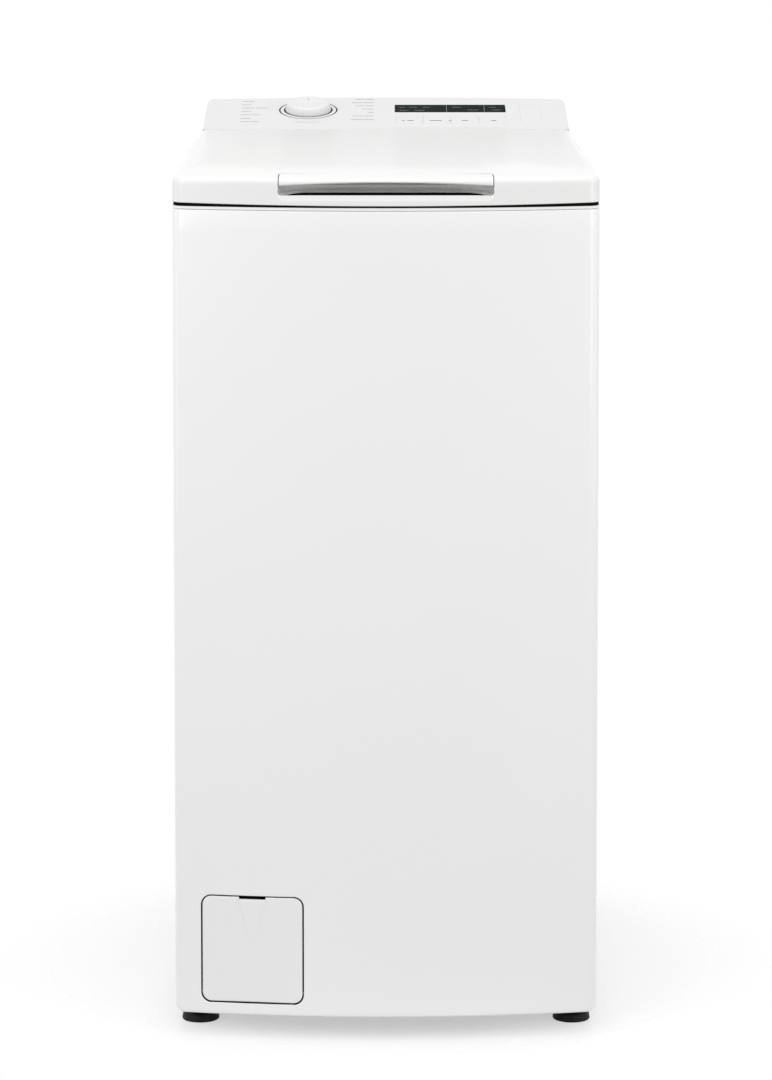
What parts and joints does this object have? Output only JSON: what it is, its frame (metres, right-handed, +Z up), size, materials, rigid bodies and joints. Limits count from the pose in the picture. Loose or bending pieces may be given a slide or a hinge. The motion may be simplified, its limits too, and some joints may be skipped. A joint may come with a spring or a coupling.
{
  "type": "top load washing machine",
  "caption": "Narrow white top load washing machine with a sloped lift-up lid, bowed front, console with dial and keys at the back, side mounted drum with flaps, and sprung tub",
  "frame": {"origin": "centre of the bounding box on the floor", "axes": "+Z up, the bowed front looks to -Y, +X to the right of someone who faces the front; the drum turns about X"},
  "size_m": [0.4, 0.6, 0.9022],
  "materials": {
    "cabinet_enamel": "white enamel, semi gloss, fine orange peel",
    "zinc_steel": "zinc plated steel sheet with a light grey coat",
    "base_plastic": "grey moulded, fine grain",
    "gloss_white_plastic": "white, glossy",
    "door_enamel": "white, satin, matched to the enamel",
    "white_plastic": "white, fine grain",
    "display_glass": "dark green-black window, polished",
    "silver_grey_plastic": "satin silver grey",
    "circuit_board": "green lacquered board",
    "black_plastic": "black, moulded, fine grain",
    "tub_plastic": "pale grey filled polypropylene",
    "rubber": "dark grey, matt",
    "concrete": "cast concrete, rough",
    "plain_steel": "zinc plated",
    "stainless_steel": "polished stainless sheet",
    "paddle_plastic": "light grey",
    "pulley_alloy": "die cast, satin"
  },
  "bodies": {
    "cabinet": {"base_pan": "base_plastic", "front_panel": "cabinet_enamel", "left_side_panel": "cabinet_enamel", "right_side_panel": "cabinet_enamel", "rear_panel": "zinc_steel", "top_frame": "white_plastic", "console_housing": "gloss_white_plastic", "display_lens": "display_glass", "knob_bezel": "gloss_white_plastic", "control_board": "circuit_board", "door_lock": "black_plastic", "rear_feet": "black_plastic", "inlet_valve": "white_plastic", "inlet_pipe": "tub_plastic", "drain_pump": "tub_plastic", "drain_pipe": "tub_plastic", "cord_gland": "black_plastic", "transport_caps": "white_plastic", "panel_screws": "plain_steel", "damper_cylinders": "black_plastic", "suspension_springs": "plain_steel", "bellows": "rubber", "sump_hose": "rubber"},
    "lid": {"lid_shell": "gloss_white_plastic", "lid_liner": "white_plastic", "lid_handle": "gloss_white_plastic", "handle_trough": "silver_grey_plastic", "lid_hinge_pins": "plain_steel", "lid_hook": "plain_steel", "detergent_tray": "white_plastic"},
    "tub": {"tub_shell": "tub_plastic", "tub_cover": "tub_plastic", "counterweight": "concrete", "heating_element": "stainless_steel", "bearing_outer_rings": "plain_steel", "drive_motor": "plain_steel", "drive_belt": "rubber", "damper_rods": "plain_steel"},
    "drum": {"drum_shell": "stainless_steel", "drum_ends": "stainless_steel", "drum_paddles": "paddle_plastic", "drum_shafts": "plain_steel", "bearing_inner_rings": "plain_steel", "drum_pulley": "pulley_alloy", "flap_hinge_pins": "stainless_steel"},
    "front_flap": {"front_drum_flap": "stainless_steel"},
    "rear_flap": {"rear_drum_flap": "stainless_steel"},
    "latch": {"flap_button": "paddle_plastic"},
    "motor_rotor": {"motor_pulley": "plain_steel"},
    "knob": {"program_knob": "gloss_white_plastic"},
    "start": {"start_button": "gloss_white_plastic"},
    "power": {"power_button": "gloss_white_plastic"},
    "key_1": {"option_key_1": "gloss_white_plastic"},
    "key_2": {"option_key_2": "gloss_white_plastic"},
    "key_3": {"option_key_3": "gloss_white_plastic"},
    "key_4": {"option_key_4": "gloss_white_plastic"},
    "filter_hatch": {"filter_door": "door_enamel"},
    "lint_filter": {"drain_filter": "white_plastic"},
    "foot_left": {"left_front_foot": "black_plastic"},
    "foot_right": {"right_front_foot": "black_plastic"}
  },
  "joints": [
    {"name": "lid_hinge", "type": "hinge", "parent": "cabinet", "child": "lid", "pos_m": [0, 0.1685, 0.85218], "axis": [-1, 0, 0], "range_deg": [0, 100]},
    {"name": "tub_float", "type": "slide", "parent": "cabinet", "child": "tub", "axis": [0, 0, 1], "range_m": [-0.008, 0.008], "stiffness_N_per_m": 8000, "springref_m": 0.0353, "deforming": ["suspension_springs", "bellows", "sump_hose"]},
    {"name": "drum_spin", "type": "hinge", "parent": "tub", "child": "drum", "pos_m": [0, -0.01, 0.44], "axis": [1, 0, 0], "range_deg": [-720, 720]},
    {"name": "motor_spin", "type": "hinge", "parent": "tub", "child": "motor_rotor", "pos_m": [0.15, 0.14, 0.15281], "axis": [1, 0, 0], "range_deg": [-9600, 9600]},
    {"name": "front_flap_hinge", "type": "hinge", "parent": "drum", "child": "front_flap", "pos_m": [0, -0.125, 0.64149], "axis": [1, 0, 0], "range_deg": [0, 70]},
    {"name": "rear_flap_hinge", "type": "hinge", "parent": "drum", "child": "rear_flap", "pos_m": [0, 0.105, 0.64149], "axis": [-1, 0, 0], "range_deg": [0, 70]},
    {"name": "flap_latch", "type": "slide", "parent": "rear_flap", "child": "latch", "axis": [0, 0, -1], "range_m": [0, 0.003], "stiffness_N_per_m": 400},
    {"name": "program_dial", "type": "hinge", "parent": "cabinet", "child": "knob", "pos_m": [-0.086, 0.25041, 0.88502], "axis": [0, -0.3162, 0.9487], "continuous": true},
    {"name": "start_press", "type": "slide", "parent": "cabinet", "child": "start", "axis": [0, 0.3162, -0.9487], "range_m": [0, 0.0015], "stiffness_N_per_m": 900},
    {"name": "power_press", "type": "slide", "parent": "cabinet", "child": "power", "axis": [0, 0.3162, -0.9487], "range_m": [0, 0.0015], "stiffness_N_per_m": 900},
    {"name": "key_1_press", "type": "slide", "parent": "cabinet", "child": "key_1", "axis": [0, 0.3162, -0.9487], "range_m": [0, 0.0015], "stiffness_N_per_m": 900},
    {"name": "key_2_press", "type": "slide", "parent": "cabinet", "child": "key_2", "axis": [0, 0.3162, -0.9487], "range_m": [0, 0.0015], "stiffness_N_per_m": 900},
    {"name": "key_3_press", "type": "slide", "parent": "cabinet", "child": "key_3", "axis": [0, 0.3162, -0.9487], "range_m": [0, 0.0015], "stiffness_N_per_m": 900},
    {"name": "key_4_press", "type": "slide", "parent": "cabinet", "child": "key_4", "axis": [0, 0.3162, -0.9487], "range_m": [0, 0.0015], "stiffness_N_per_m": 900},
    {"name": "filter_door_hinge", "type": "hinge", "parent": "cabinet", "child": "filter_hatch", "pos_m": [-0.1256, -0.28699, 0.0428], "axis": [0.9922, -0.125, 0], "range_deg": [0, 85]},
    {"name": "filter_turn", "type": "hinge", "parent": "cabinet", "child": "lint_filter", "pos_m": [-0.1261, -0.264, 0.08425], "axis": [0, 1, 0], "range_deg": [0, 90]},
    {"name": "left_foot_screw", "type": "slide", "parent": "cabinet", "child": "foot_left", "axis": [0, 0, 1], "range_m": [0, 0.008]},
    {"name": "right_foot_screw", "type": "slide", "parent": "cabinet", "child": "foot_right", "axis": [0, 0, 1], "range_m": [0, 0.008]}
  ],
  "couplings": [
    {"joint": "motor_spin", "follows": "drum_spin", "ratio": 13.2}
  ]
}
